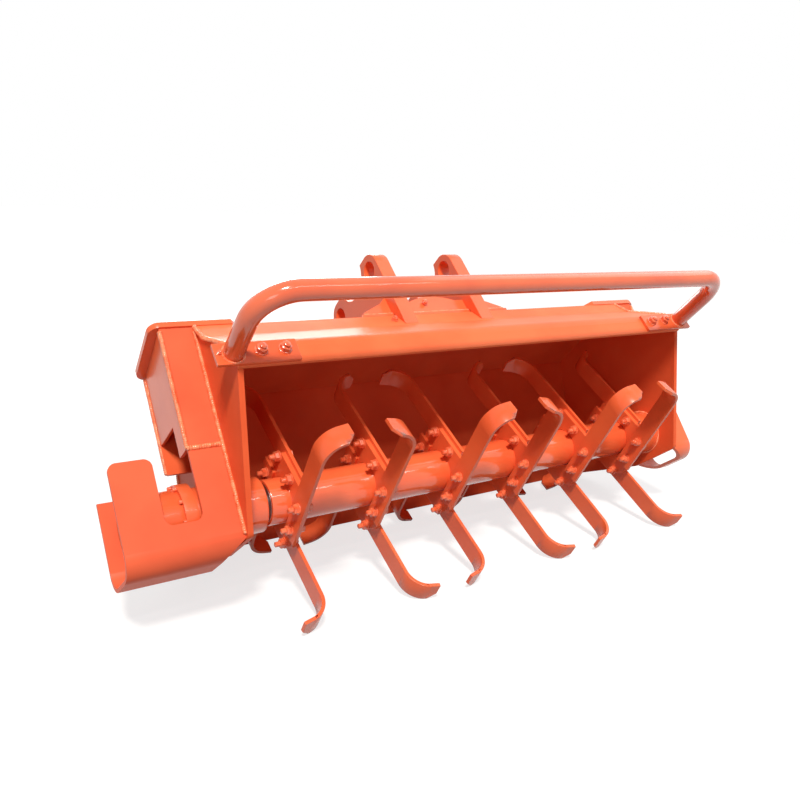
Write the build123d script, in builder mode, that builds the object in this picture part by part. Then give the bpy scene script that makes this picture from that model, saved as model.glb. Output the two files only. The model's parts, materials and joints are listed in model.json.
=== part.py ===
"""Rotary tiller for an excavator arm: a hood over a tined rotor, parked lying back on its tines.

Millimetres. X runs along the rotor, Z is up and the floor is at Z = 0. Profiles are drawn in the working
attitude, with local x to the back and local y up from the rotor's axis, on planes tilted back for parking.
"""
import os
from math import acos, atan2, cos, degrees, hypot, radians, sin

from build123d import *

os.makedirs("parts", exist_ok=True)

# Parked attitude
PARK_TILT = 38.0
FIT = 0.05

# Rotor
STATION_COUNT = 6
END_SPACE = 120.0
TUBE_RADIUS = 50.0
TUBE_WALL = 8.0
TUBE_GROOVE = 12.0
SHAFT_RADIUS = 25.0
PLUG_LENGTH = 40.0
FLANGE_THICKNESS = 10.0
FLANGE_HALF = 90.0
FLANGE_CHAMFER = 34.0

# Tines
TINE_WIDTH = 48.0
TINE_THICKNESS = 8.0
TINE_CLEAR = 1.5
TINE_ROOT = 34.0
TINE_STRAIGHT = 217.0
TINE_BEND_RADIUS = 46.0
TINE_BEND = 78.0
TINE_TIP = 22.0
TIP_CHAMFER = 18.0
TINE_ROWS = 4
# Each row: quarter turns from the back row, face of the flange it is bolted to, bend at the first station
TINE_TABLE = (
    (0, -1, 1),
    (1, 1, -1),
    (2, -1, 1),
    (3, 1, -1),
)

# Housing
HALF_WIDTH = 645.0
SIDE_THICKNESS = 12.0
PLATE = 8.0
LIP_BEND = 27.0
SIDE_FOOT_FRONT = (-84.0, -84.0)
SIDE_FOOT_BACK = (70.0, -84.0)
SIDE_FOOT_ROUND = 16.0
COLUMN_WIDTH = 76.0
COLUMN_FRONT = -78.0
COLUMN_BACK = 95.0
COLUMN_FOOT = 120.0
COLUMN_WINDOW_TOP = 188.0
COLUMN_WINDOW_FRONT = -22.0
CAP_THICKNESS = 16.0
CAP_LEDGE = 5.0
CAP_DEPTH = 190.0
CAP_INBOARD = 110.0
CAP_OVERHANG = 20.0
CAP_ROUND = 26.0
CAP_CHAMFER = 24.0
CAP_EDGE = 5.0

# Hood line on its underside, working attitude: back, up
LIP_LOW = (-246.0, 208.0)
LIP_TOP = (-238.0, 258.0)
KNEE = (-112.0, 338.0)
APEX = (-78.0, 382.0)
REAR_BEND = (196.0, 330.0)
REAR_PANEL_DISTANCE = 296.0

# Guards and drive
GUARD_DEPTH = 156.0
GUARD_BOTTOM = -112.0
GUARD_BEND = 45.0
GUARD_LENGTH = 233.0
GUARD_BACK_TOP = 78.0
GUARD_CORNER_RUN = 46.0
GUARD_CORNER_RISE = 32.0
FINGER_TOP = 111.0
FINGER_WIDTH = 84.0
NOTCH_WIDTH = 75.0
NOTCH_LOW = -28.0
NOTCH_ROUND = 17.0
HUB_RADIUS = 60.0
HUB_LENGTH = 60.0
HUB_EDGE = 4.0
MOUNT_RADIUS = 58.0
MOUNT_LENGTH = 78.0
MOTOR_FLANGE_RADIUS = 69.0
MOTOR_FLANGE_LENGTH = 26.0
MOTOR_RADIUS = 60.0
MOTOR_LENGTH = 88.0
MOTOR_END_RADIUS = 46.0
MOTOR_END_LENGTH = 18.0
MOTOR_EDGE = 5.0
BEARING_CAP_RADIUS = 64.0
BEARING_CAP_LENGTH = 34.0
SHAFT_STOP = 10.0

# Push bar
BAR_RADIUS = 21.0
BAR_OUTBOARD = 5.0
BAR_REACH = 184.0
BAR_BEND = 84.0
BAR_PLATE_LENGTH = 175.0
BAR_PLATE_HEIGHT = 50.0
BAR_PLATE_OVERHANG = 42.0

# Hitch
EAR_SPACING = 242.0
EAR_THICKNESS = 40.0
PIN_RADIUS = 25.0
BOSS_RADIUS = 43.0
FRONT_PIN = (-34.0, 548.0)
REAR_PIN = (166.0, 522.0)
VALLEY_RADIUS = 66.0
EAR_TOE_RISE = 8.0
HITCH_BASE_THICKNESS = 10.0
HITCH_BASE_OVERHANG = 92.0
HITCH_BASE_FRONT = -76.0
HITCH_BASE_BACK = 178.0
HITCH_WALL = 12.0
HITCH_WALL_HEIGHT = 38.0
HITCH_WALL_RISE = 15.0
HITCH_WALL_SHOULDER = 28.0
HITCH_WALL_SETBACK = 4.0
GUSSET_THICKNESS = 14.0
GUSSET_LENGTH = 82.0
GUSSET_HEIGHT = 56.0
GUSSET_KNEE = (22.0, 36.0)
GUSSET_TOE = 8.0

SIDES = (("left", -1), ("right", 1))
TILT = radians(PARK_TILT)

# Widths along the rotor, all from the width between the side plates
OUTER_WIDTH = HALF_WIDTH + SIDE_THICKNESS
COLUMN_OUT = OUTER_WIDTH + COLUMN_WIDTH
GUARD_REACH = OUTER_WIDTH + GUARD_LENGTH
MOTOR_START = OUTER_WIDTH + MOUNT_LENGTH
BAR_SPREAD = OUTER_WIDTH + BAR_OUTBOARD
TUBE_END = HALF_WIDTH - HUB_LENGTH - TUBE_GROOVE
STATION_PITCH = 2 * (HALF_WIDTH - END_SPACE) / (STATION_COUNT - 1)

# How far the tines reach out along the shank, and where the rows must point so that two rows stand level
TINE_END = (TINE_STRAIGHT + (TINE_BEND_RADIUS + TINE_THICKNESS) * sin(radians(TINE_BEND))
            + TINE_TIP * cos(radians(TINE_BEND)))
TINE_CHAMFERED_END = TINE_END - TIP_CHAMFER * cos(radians(TINE_BEND))
TINE_INNER_EDGE = TUBE_RADIUS + TINE_CLEAR
TINE_OUTER_EDGE = TINE_INNER_EDGE + TINE_WIDTH
BACK_ROW_ANGLE = -degrees(atan2(TINE_CHAMFERED_END + TINE_INNER_EDGE, TINE_END - TINE_OUTER_EDGE))
AXIS_HEIGHT = (-TINE_END * sin(radians(BACK_ROW_ANGLE))
               - TINE_INNER_EDGE * cos(radians(BACK_ROW_ANGLE)))

# The origin stands midway between the foremost tine tip and the rear pin's boss, and between the two ends
REARMOST = REAR_PIN[0] * cos(TILT) + REAR_PIN[1] * sin(TILT) + BOSS_RADIUS
AXIS_Y = (AXIS_HEIGHT - REARMOST) / 2
MIDDLE_X = (GUARD_REACH - COLUMN_OUT - CAP_OVERHANG) / 2


def side(x):
    """Upright plane at x from the middle of the rotor, local x to the back and local y up as it works."""
    origin = (x + MIDDLE_X, AXIS_Y, AXIS_HEIGHT)
    return Plane(origin=origin, x_dir=(0, cos(TILT), -sin(TILT)), z_dir=(1, 0, 0))


def unit(a, b):
    """Direction from point a to point b."""
    length = hypot(b[0] - a[0], b[1] - a[1])
    return ((b[0] - a[0]) / length, (b[1] - a[1]) / length)


def out_from(a, b, distance):
    """Point a moved to the left of the run from a to b, which is out of the hood."""
    run = unit(a, b)
    return (a[0] - run[1] * distance, a[1] + run[0] * distance)


def mitre(a, b, c, distance):
    """Corner of the hood's outer line where the runs a to b and b to c meet."""
    first = unit(a, b)
    second = unit(b, c)
    normals = (-first[1] - second[1], first[0] + second[0])
    share = distance * 2 / (normals[0] ** 2 + normals[1] ** 2)
    return (b[0] + normals[0] * share, b[1] + normals[1] * share)


def rear_low_point():
    """Lower inner corner of the rear panel, where its outer corner just stands on the floor."""
    reach = hypot(*REAR_BEND)
    heading = atan2(REAR_BEND[1], REAR_BEND[0]) - acos(REAR_PANEL_DISTANCE / reach)
    normal = (cos(heading), sin(heading))
    run = (sin(heading), -cos(heading))
    outer_drop = (REAR_PANEL_DISTANCE + PLATE) * (normal[0] * sin(TILT) - normal[1] * cos(TILT))
    slide = (AXIS_HEIGHT - outer_drop) / (run[0] * sin(TILT) - run[1] * cos(TILT))
    return (REAR_PANEL_DISTANCE * normal[0] + slide * run[0],
            REAR_PANEL_DISTANCE * normal[1] + slide * run[1])


REAR_LOW = rear_low_point()
LIP_LOW_OUT = out_from(LIP_LOW, LIP_TOP, PLATE)
LIP_TOP_OUT = mitre(LIP_LOW, LIP_TOP, KNEE, PLATE)
KNEE_OUT = mitre(LIP_TOP, KNEE, APEX, PLATE)
APEX_OUT = mitre(KNEE, APEX, REAR_BEND, PLATE)
REAR_BEND_OUT = mitre(APEX, REAR_BEND, REAR_LOW, PLATE)
REAR_LOW_OUT = (REAR_LOW[0] + out_from(REAR_BEND, REAR_LOW, PLATE)[0] - REAR_BEND[0],
                REAR_LOW[1] + out_from(REAR_BEND, REAR_LOW, PLATE)[1] - REAR_BEND[1])
TOP_RUN = unit(APEX_OUT, REAR_BEND_OUT)
STEEP_RUN = unit(KNEE_OUT, APEX_OUT)
LIP_RUN = unit(LIP_LOW_OUT, LIP_TOP_OUT)
LIP_NORMAL = (-LIP_RUN[1], LIP_RUN[0])


def top_line(back, lift=0.0):
    """Height of the hood's top surface, run on past its ends, at a distance back, lifted square to it."""
    slope = TOP_RUN[1] / TOP_RUN[0]
    return APEX_OUT[1] + (back - APEX_OUT[0]) * slope + lift / TOP_RUN[0]


def save(piece, name):
    """Label a finished piece and write it."""
    piece.part.label = name
    export_step(piece.part, f"parts/{name}.step")


# Hood panels
with BuildPart() as hood_front_panel:
    with BuildSketch(side(-OUTER_WIDTH)):
        with BuildLine():
            FilletPolyline(LIP_LOW, LIP_TOP, KNEE, APEX, radius=LIP_BEND)
            Line(APEX, APEX_OUT)
            FilletPolyline(APEX_OUT, KNEE_OUT, LIP_TOP_OUT, LIP_LOW_OUT, radius=LIP_BEND + PLATE)
            Line(LIP_LOW_OUT, LIP_LOW)
        make_face()
    extrude(amount=2 * OUTER_WIDTH)
save(hood_front_panel, "hood_front_panel")

with BuildPart() as hood_top_panel:
    with BuildSketch(side(-OUTER_WIDTH)):
        with BuildLine():
            Polyline(APEX, REAR_BEND, REAR_BEND_OUT, APEX_OUT, close=True)
        make_face()
    extrude(amount=2 * OUTER_WIDTH)
save(hood_top_panel, "hood_top_panel")

with BuildPart() as hood_rear_panel:
    with BuildSketch(side(-OUTER_WIDTH)):
        with BuildLine():
            Polyline(REAR_BEND, REAR_LOW, REAR_LOW_OUT, REAR_BEND_OUT, close=True)
        make_face()
    extrude(amount=2 * OUTER_WIDTH)
save(hood_rear_panel, "hood_rear_panel")

# Side plates, each under the hood's ends, with a flat foot under the bearing
for name, sign in SIDES:
    with BuildPart() as side_plate:
        with BuildSketch(side(sign * HALF_WIDTH)):
            with BuildLine():
                FilletPolyline(LIP_LOW, LIP_TOP, KNEE, APEX, radius=LIP_BEND)
                Polyline(APEX, REAR_BEND, REAR_LOW)
                FilletPolyline(REAR_LOW, SIDE_FOOT_BACK, SIDE_FOOT_FRONT, LIP_LOW, radius=SIDE_FOOT_ROUND)
            make_face()
            Circle(HUB_RADIUS, mode=Mode.SUBTRACT)
        extrude(amount=sign * SIDE_THICKNESS)
    save(side_plate, f"side_plate_{name}")

# End columns: a front wall, an outer wall and a rear wall, up to the cap plate
for name, sign in SIDES:
    with BuildPart() as column_front:
        with BuildSketch(side(sign * OUTER_WIDTH)):
            with BuildLine():
                Polyline((COLUMN_FRONT, COLUMN_FOOT), (COLUMN_FRONT + PLATE, COLUMN_FOOT),
                         (COLUMN_FRONT + PLATE, top_line(COLUMN_FRONT + PLATE)),
                         (COLUMN_FRONT, top_line(COLUMN_FRONT)), close=True)
            make_face()
        extrude(amount=sign * COLUMN_WIDTH)
    save(column_front, f"column_front_{name}")

    with BuildPart() as column_rear:
        with BuildSketch(side(sign * OUTER_WIDTH)):
            with BuildLine():
                Polyline((COLUMN_BACK - PLATE, COLUMN_FOOT), (COLUMN_BACK, COLUMN_FOOT),
                         (COLUMN_BACK, top_line(COLUMN_BACK)),
                         (COLUMN_BACK - PLATE, top_line(COLUMN_BACK - PLATE)), close=True)
            make_face()
        extrude(amount=sign * COLUMN_WIDTH)
    save(column_rear, f"column_rear_{name}")

    with BuildPart() as column_outer:
        with BuildSketch(side(sign * (COLUMN_OUT - PLATE))):
            with BuildLine():
                Polyline((COLUMN_FRONT + PLATE, COLUMN_FOOT),
                         (COLUMN_FRONT + PLATE, top_line(COLUMN_FRONT + PLATE)),
                         (COLUMN_BACK - PLATE, top_line(COLUMN_BACK - PLATE)),
                         (COLUMN_BACK - PLATE, COLUMN_WINDOW_TOP), (COLUMN_WINDOW_FRONT, COLUMN_WINDOW_TOP),
                         (COLUMN_WINDOW_FRONT, COLUMN_FOOT), close=True)
            make_face()
        extrude(amount=sign * PLATE)
    save(column_outer, f"column_outer_{name}")

# Cap plates over the columns, lying on the hood's top panel, with two rounded corners and one cut off
CAP_FRONT = COLUMN_FRONT - CAP_LEDGE
TOP_FACE = Plane(origin=side(0).from_local_coords((CAP_FRONT, top_line(CAP_FRONT), 0)), x_dir=(1, 0, 0),
                 z_dir=side(0).y_dir * TOP_RUN[0] - side(0).x_dir * TOP_RUN[1])
CAP_INNER = OUTER_WIDTH - CAP_INBOARD
CAP_OUTER = COLUMN_OUT + CAP_OVERHANG
for name, sign in SIDES:
    with BuildPart() as cap_plate:
        with BuildSketch(TOP_FACE):
            with BuildLine():
                FilletPolyline((sign * CAP_INNER, CAP_DEPTH), (sign * CAP_OUTER, CAP_DEPTH),
                               (sign * CAP_OUTER, 0), (sign * (CAP_INNER + CAP_CHAMFER), 0), radius=CAP_ROUND)
                Polyline((sign * (CAP_INNER + CAP_CHAMFER), 0), (sign * CAP_INNER, CAP_CHAMFER),
                         (sign * CAP_INNER, CAP_DEPTH))
            make_face()
        extrude(amount=CAP_THICKNESS)
        fillet(cap_plate.faces().filter_by(TOP_FACE).sort_by(Axis.Z)[-1].edges(), radius=CAP_EDGE)
    save(cap_plate, f"cap_plate_{name}")

# Guards: a folded trough under each column, the drive side's reaching out round the motor
GUARD_BACK = COLUMN_FRONT + GUARD_DEPTH
NOTCH_OUT = GUARD_REACH - FINGER_WIDTH
NOTCH_IN = NOTCH_OUT - NOTCH_WIDTH
FRONT_FACE = Plane(origin=side(0).from_local_coords((COLUMN_FRONT, 0, 0)), x_dir=(1, 0, 0),
                   z_dir=-side(0).x_dir)
# Each guard: name, side, outer end
GUARDS = (
    ("motor_guard", -1, GUARD_REACH),
    ("bearing_guard", 1, COLUMN_OUT),
)
for name, sign, reach in GUARDS:
    with BuildPart() as guard:
        with BuildSketch(side(sign * OUTER_WIDTH)):
            with BuildLine():
                FilletPolyline((COLUMN_FRONT, COLUMN_FOOT), (COLUMN_FRONT, GUARD_BOTTOM),
                               (GUARD_BACK, GUARD_BOTTOM), (GUARD_BACK, GUARD_BACK_TOP), radius=GUARD_BEND)
                Line((GUARD_BACK, GUARD_BACK_TOP), (GUARD_BACK - PLATE, GUARD_BACK_TOP))
                FilletPolyline((GUARD_BACK - PLATE, GUARD_BACK_TOP),
                               (GUARD_BACK - PLATE, GUARD_BOTTOM + PLATE),
                               (COLUMN_FRONT + PLATE, GUARD_BOTTOM + PLATE),
                               (COLUMN_FRONT + PLATE, COLUMN_FOOT), radius=GUARD_BEND - PLATE)
                Line((COLUMN_FRONT + PLATE, COLUMN_FOOT), (COLUMN_FRONT, COLUMN_FOOT))
            make_face()
        extrude(amount=sign * (reach - OUTER_WIDTH))
        # The inner lower corner is cut off to meet the side plate's foot
        with BuildSketch(FRONT_FACE):
            with BuildLine():
                Polyline((sign * OUTER_WIDTH, GUARD_BOTTOM),
                         (sign * OUTER_WIDTH, GUARD_BOTTOM + GUARD_CORNER_RISE),
                         (sign * (OUTER_WIDTH + GUARD_CORNER_RUN), GUARD_BOTTOM), close=True)
            make_face()
        extrude(amount=-GUARD_DEPTH, mode=Mode.SUBTRACT)
        if reach > NOTCH_OUT:
            # The window in the front wall and the finger left outside it, both with rounded corners
            with BuildSketch(FRONT_FACE):
                with BuildLine():
                    FilletPolyline((-NOTCH_IN, COLUMN_FOOT), (-NOTCH_IN, NOTCH_LOW), (-NOTCH_OUT, NOTCH_LOW),
                                   (-NOTCH_OUT, FINGER_TOP), (-GUARD_REACH, FINGER_TOP),
                                   (-GUARD_REACH, NOTCH_LOW), radius=NOTCH_ROUND)
                    Polyline((-GUARD_REACH, NOTCH_LOW), (-GUARD_REACH - PLATE, NOTCH_LOW),
                             (-GUARD_REACH - PLATE, COLUMN_FOOT), (-NOTCH_IN, COLUMN_FOOT))
                make_face()
            extrude(amount=-PLATE, mode=Mode.SUBTRACT)
    save(guard, name)

# Bearing hubs in the side plates, each with a running bore for the rotor's shaft
for name, sign in SIDES:
    with BuildPart() as bearing_hub:
        with BuildSketch(side(sign * OUTER_WIDTH)):
            Circle(HUB_RADIUS)
            Circle(SHAFT_RADIUS + FIT, mode=Mode.SUBTRACT)
        extrude(amount=-sign * (SIDE_THICKNESS + HUB_LENGTH))
        hub_face = bearing_hub.faces().filter_by(Axis.X).sort_by(Axis.X)[-1 if sign < 0 else 0]
        fillet(hub_face.outer_wire().edges(), radius=HUB_EDGE)
    save(bearing_hub, f"bearing_hub_{name}")

# Bearing cap at the right, motor mount, flange and body at the left, stacked out from the side plates
SHAFT_END = OUTER_WIDTH + SHAFT_STOP
with BuildPart() as bearing_cap:
    with BuildSketch(side(OUTER_WIDTH)):
        Circle(BEARING_CAP_RADIUS)
    extrude(amount=BEARING_CAP_LENGTH)
    with BuildSketch(side(OUTER_WIDTH)):
        Circle(SHAFT_RADIUS + FIT)
    extrude(amount=2 * SHAFT_STOP, mode=Mode.SUBTRACT)
save(bearing_cap, "bearing_cap")

with BuildPart() as motor_mount:
    with BuildSketch(side(-OUTER_WIDTH)):
        Circle(MOUNT_RADIUS)
    extrude(amount=OUTER_WIDTH - MOTOR_START)
    with BuildSketch(side(-OUTER_WIDTH)):
        Circle(SHAFT_RADIUS + FIT)
    extrude(amount=-2 * SHAFT_STOP, mode=Mode.SUBTRACT)
save(motor_mount, "motor_mount")

with BuildPart() as motor_flange:
    with BuildSketch(side(-MOTOR_START)):
        Circle(MOTOR_FLANGE_RADIUS)
    extrude(amount=-MOTOR_FLANGE_LENGTH)
save(motor_flange, "motor_flange")

with BuildPart() as motor_body:
    with BuildSketch(side(-MOTOR_START - MOTOR_FLANGE_LENGTH)):
        Circle(MOTOR_RADIUS)
    extrude(amount=-MOTOR_LENGTH)
    fillet(motor_body.faces().sort_by(Axis.X)[0].edges(), radius=MOTOR_EDGE)
    with BuildSketch(side(-MOTOR_START - MOTOR_FLANGE_LENGTH - MOTOR_LENGTH)):
        Circle(MOTOR_END_RADIUS)
    extrude(amount=-MOTOR_END_LENGTH)
save(motor_body, "motor_body")

# Push bar on two bolted plates across the lip
LIP_MIDDLE = ((LIP_LOW_OUT[0] + LIP_TOP_OUT[0]) / 2, (LIP_LOW_OUT[1] + LIP_TOP_OUT[1]) / 2)
LIP_FACE = Plane(origin=side(0).from_local_coords((*LIP_MIDDLE, 0)), x_dir=(1, 0, 0),
                 z_dir=side(0).x_dir * LIP_NORMAL[0] + side(0).y_dir * LIP_NORMAL[1])
PLATE_OUTER_END = OUTER_WIDTH + BAR_PLATE_OVERHANG
for name, sign in SIDES:
    with BuildPart() as bar_plate:
        with BuildSketch(LIP_FACE):
            with Locations((sign * (PLATE_OUTER_END - BAR_PLATE_LENGTH / 2), 0)):
                Rectangle(BAR_PLATE_LENGTH, BAR_PLATE_HEIGHT)
        extrude(amount=PLATE)
    save(bar_plate, f"bar_plate_{name}")

BAR_BASE = LIP_FACE.offset(PLATE)
BAR_PLANE = Plane(origin=BAR_BASE.origin, x_dir=(1, 0, 0), z_dir=-BAR_BASE.y_dir)
with BuildPart() as push_bar:
    with BuildLine(BAR_PLANE):
        FilletPolyline((-BAR_SPREAD, 0), (-BAR_SPREAD, BAR_REACH), (BAR_SPREAD, BAR_REACH), (BAR_SPREAD, 0),
                       radius=BAR_BEND)
    with BuildSketch(BAR_BASE):
        with Locations((-BAR_SPREAD, 0)):
            Circle(BAR_RADIUS)
    sweep()
save(push_bar, "push_bar")

# Hitch: a base on the top panel, two ears with two pin bores each, walls between them and gussets outside
EAR_INNER = EAR_SPACING / 2 - EAR_THICKNESS / 2
EAR_OUTER = EAR_SPACING / 2 + EAR_THICKNESS / 2
HITCH_BASE_HALF = EAR_OUTER + HITCH_BASE_OVERHANG
with BuildPart() as hitch_base:
    with BuildSketch(side(-HITCH_BASE_HALF)):
        with BuildLine():
            Polyline((HITCH_BASE_FRONT, top_line(HITCH_BASE_FRONT)),
                     (HITCH_BASE_BACK, top_line(HITCH_BASE_BACK)),
                     (HITCH_BASE_BACK, top_line(HITCH_BASE_BACK, HITCH_BASE_THICKNESS)),
                     (HITCH_BASE_FRONT, top_line(HITCH_BASE_FRONT, HITCH_BASE_THICKNESS)), close=True)
        make_face()
    extrude(amount=2 * HITCH_BASE_HALF)
save(hitch_base, "hitch_base")

EAR_TOE = (KNEE_OUT[0] + STEEP_RUN[0] * EAR_TOE_RISE, KNEE_OUT[1] + STEEP_RUN[1] * EAR_TOE_RISE)
EAR_FOOT_FRONT = (HITCH_BASE_FRONT, top_line(HITCH_BASE_FRONT, HITCH_BASE_THICKNESS))
EAR_FOOT_BACK = (HITCH_BASE_BACK, top_line(HITCH_BASE_BACK, HITCH_BASE_THICKNESS))
VALLEY = ((FRONT_PIN[0] + REAR_PIN[0]) / 2, FRONT_PIN[1] + BOSS_RADIUS)
for name, sign in SIDES:
    with BuildPart() as hitch_ear:
        with BuildSketch(side(sign * EAR_INNER)):
            with Locations(FRONT_PIN, REAR_PIN):
                Circle(BOSS_RADIUS)
            with BuildLine():
                Line(EAR_TOE, EAR_FOOT_BACK)
            make_hull()
            with BuildLine():
                Polyline(EAR_TOE, APEX_OUT, EAR_FOOT_FRONT, EAR_FOOT_BACK, close=True)
            make_face(mode=Mode.SUBTRACT)
            with Locations(VALLEY):
                Circle(VALLEY_RADIUS, mode=Mode.SUBTRACT)
            with Locations(FRONT_PIN, REAR_PIN):
                Circle(PIN_RADIUS, mode=Mode.SUBTRACT)
        extrude(amount=sign * EAR_THICKNESS)
    save(hitch_ear, f"hitch_ear_{name}")

# Each wall between the ears: name, its front face back from the axis, how far its middle rises
HITCH_WALLS = (
    ("hitch_front_wall", HITCH_BASE_FRONT + HITCH_WALL_SETBACK, HITCH_WALL_RISE),
    ("hitch_rear_wall", HITCH_BASE_BACK - 2 * HITCH_WALL, HITCH_WALL_RISE / 2),
)
HITCH_FRONT = side(0).x_dir * -TOP_RUN[0] - side(0).y_dir * TOP_RUN[1]
WALL_SHOULDER = EAR_INNER - HITCH_WALL_SHOULDER
for name, front, rise in HITCH_WALLS:
    foot = side(0).from_local_coords((front, top_line(front, HITCH_BASE_THICKNESS), 0))
    with BuildPart() as hitch_wall:
        with BuildSketch(Plane(origin=foot, x_dir=(1, 0, 0), z_dir=HITCH_FRONT)):
            with BuildLine():
                Polyline((-WALL_SHOULDER, HITCH_WALL_HEIGHT), (-EAR_INNER, HITCH_WALL_HEIGHT),
                         (-EAR_INNER, 0), (EAR_INNER, 0), (EAR_INNER, HITCH_WALL_HEIGHT),
                         (WALL_SHOULDER, HITCH_WALL_HEIGHT))
                ThreePointArc((WALL_SHOULDER, HITCH_WALL_HEIGHT), (0, HITCH_WALL_HEIGHT + rise),
                              (-WALL_SHOULDER, HITCH_WALL_HEIGHT))
            make_face()
        extrude(amount=-HITCH_WALL)
    save(hitch_wall, name)

GUSSET_FRONT = HITCH_BASE_FRONT + HITCH_WALL_SETBACK
GUSSET_FOOT = side(0).from_local_coords((GUSSET_FRONT, top_line(GUSSET_FRONT, HITCH_BASE_THICKNESS), 0))
for name, sign in SIDES:
    with BuildPart() as hitch_gusset:
        with BuildSketch(Plane(origin=GUSSET_FOOT, x_dir=(1, 0, 0), z_dir=HITCH_FRONT)):
            with BuildLine():
                Polyline((sign * EAR_OUTER, 0), (sign * (EAR_OUTER + GUSSET_LENGTH), 0),
                         (sign * (EAR_OUTER + GUSSET_LENGTH), GUSSET_TOE),
                         (sign * (EAR_OUTER + GUSSET_KNEE[0]), GUSSET_KNEE[1]),
                         (sign * EAR_OUTER, GUSSET_HEIGHT), close=True)
            make_face()
        extrude(amount=-GUSSET_THICKNESS)
    save(hitch_gusset, f"hitch_gusset_{name}")

# Rotor tube and the two shafts plugged into its ends
with BuildPart() as rotor_tube:
    with BuildSketch(side(-TUBE_END)):
        Circle(TUBE_RADIUS)
        Circle(TUBE_RADIUS - TUBE_WALL, mode=Mode.SUBTRACT)
    extrude(amount=2 * TUBE_END)
save(rotor_tube, "rotor_tube")

for name, sign in SIDES:
    with BuildPart() as rotor_shaft:
        with BuildSketch(side(sign * (TUBE_END - PLUG_LENGTH))):
            Circle(TUBE_RADIUS - TUBE_WALL)
        extrude(amount=sign * PLUG_LENGTH)
        with BuildSketch(side(sign * TUBE_END)):
            Circle(SHAFT_RADIUS)
        extrude(amount=sign * (SHAFT_END - TUBE_END))
    save(rotor_shaft, f"rotor_shaft_{name}")


def tine_plane(x, angle):
    """Plane at a tine's outer edge, with local x out along its shank and local y across the machine."""
    out = Vector(0, cos(radians(angle)), sin(radians(angle)))
    edge = Vector(0, -sin(radians(angle)), cos(radians(angle)))
    origin = Vector(x + MIDDLE_X, AXIS_Y, AXIS_HEIGHT) + edge * TINE_OUTER_EDGE
    return Plane(origin=origin, x_dir=out, z_dir=-edge)


def from_axis(edge):
    """Distance of an edge's middle from the rotor's axis."""
    middle = edge.center()
    return hypot(middle.Y - AXIS_Y, middle.Z - AXIS_HEIGHT)


# Tine rings: a flange on the tube with four bolted tines, their bends alternating from station to station
FLANGE_PLANE_TURN = BACK_ROW_ANGLE + PARK_TILT
SEAT = FLANGE_THICKNESS / 2 + TINE_THICKNESS / 2
TINE_OUTER_BEND = TINE_BEND_RADIUS + TINE_THICKNESS
for station in range(STATION_COUNT):
    x = (station - (STATION_COUNT - 1) / 2) * STATION_PITCH
    with BuildPart() as tine_ring:
        with BuildSketch(side(x - FLANGE_THICKNESS / 2)) as flange:
            Rectangle(2 * FLANGE_HALF, 2 * FLANGE_HALF, rotation=FLANGE_PLANE_TURN)
            chamfer(flange.vertices(), length=FLANGE_CHAMFER)
            Circle(TUBE_RADIUS + FIT, mode=Mode.SUBTRACT)
        extrude(amount=FLANGE_THICKNESS)
        for quarter, face, first_bend in TINE_TABLE:
            hand = first_bend * (-1) ** station
            inner_y = face * SEAT + hand * TINE_THICKNESS / 2
            outer_y = face * SEAT - hand * TINE_THICKNESS / 2
            with BuildSketch(tine_plane(x, BACK_ROW_ANGLE + quarter * 360 / TINE_ROWS)):
                with BuildLine():
                    inner = Line((-TINE_ROOT, inner_y), (TINE_STRAIGHT, inner_y))
                    inner_arc = JernArc(inner @ 1, inner % 1, TINE_BEND_RADIUS, hand * TINE_BEND)
                    inner_tip = Line(inner_arc @ 1, inner_arc @ 1 + inner_arc % 1 * TINE_TIP)
                    outer = Line((-TINE_ROOT, outer_y), (TINE_STRAIGHT, outer_y))
                    outer_arc = JernArc(outer @ 1, outer % 1, TINE_OUTER_BEND, hand * TINE_BEND)
                    outer_tip = Line(outer_arc @ 1, outer_arc @ 1 + outer_arc % 1 * TINE_TIP)
                    Line(inner @ 0, outer @ 0)
                    Line(inner_tip @ 1, outer_tip @ 1)
                make_face()
            extrude(amount=TINE_WIDTH)
        corners = tine_ring.edges().filter_by(lambda edge: abs(edge.length - TINE_THICKNESS) < FIT)
        corners = corners.sort_by(from_axis)
        chamfer(corners[-TINE_ROWS:], length=TIP_CHAMFER)
    save(tine_ring, f"tine_ring_{station + 1}")
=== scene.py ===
"""Studio scene of an excavator's rotary tiller: finishes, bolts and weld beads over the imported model."""
import json
import logging
from dataclasses import dataclass, field
from enum import Enum
from math import cos, radians, sin, sqrt, tau
from typing import NamedTuple

import bpy
from mathutils import Matrix, Vector


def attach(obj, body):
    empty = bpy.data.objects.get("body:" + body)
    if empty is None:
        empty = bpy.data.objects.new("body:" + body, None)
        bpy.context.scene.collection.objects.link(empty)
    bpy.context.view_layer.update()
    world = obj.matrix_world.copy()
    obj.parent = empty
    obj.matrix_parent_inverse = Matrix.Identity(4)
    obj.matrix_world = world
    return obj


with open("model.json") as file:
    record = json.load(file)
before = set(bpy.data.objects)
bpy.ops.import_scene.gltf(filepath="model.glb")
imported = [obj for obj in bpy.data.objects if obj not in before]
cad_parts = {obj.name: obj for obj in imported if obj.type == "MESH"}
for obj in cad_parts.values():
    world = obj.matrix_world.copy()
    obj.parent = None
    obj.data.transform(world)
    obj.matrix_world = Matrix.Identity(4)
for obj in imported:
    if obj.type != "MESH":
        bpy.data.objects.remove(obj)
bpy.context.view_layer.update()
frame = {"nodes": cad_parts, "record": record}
LOG = logging.getLogger("tiller")
ROTOR_JOINT = frame["record"]["behaviour"]["joints"][0]
MM = 0.001
ALONG = Vector((1.0, 0.0, 0.0))
UP = Vector((0.0, 0.0, 1.0))
ENDS = (("left", -1.0), ("right", 1.0))
HEXAGON = 6
# Share of a unit direction from which it counts as lying along an axis
ALIGNED = 0.9
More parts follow.
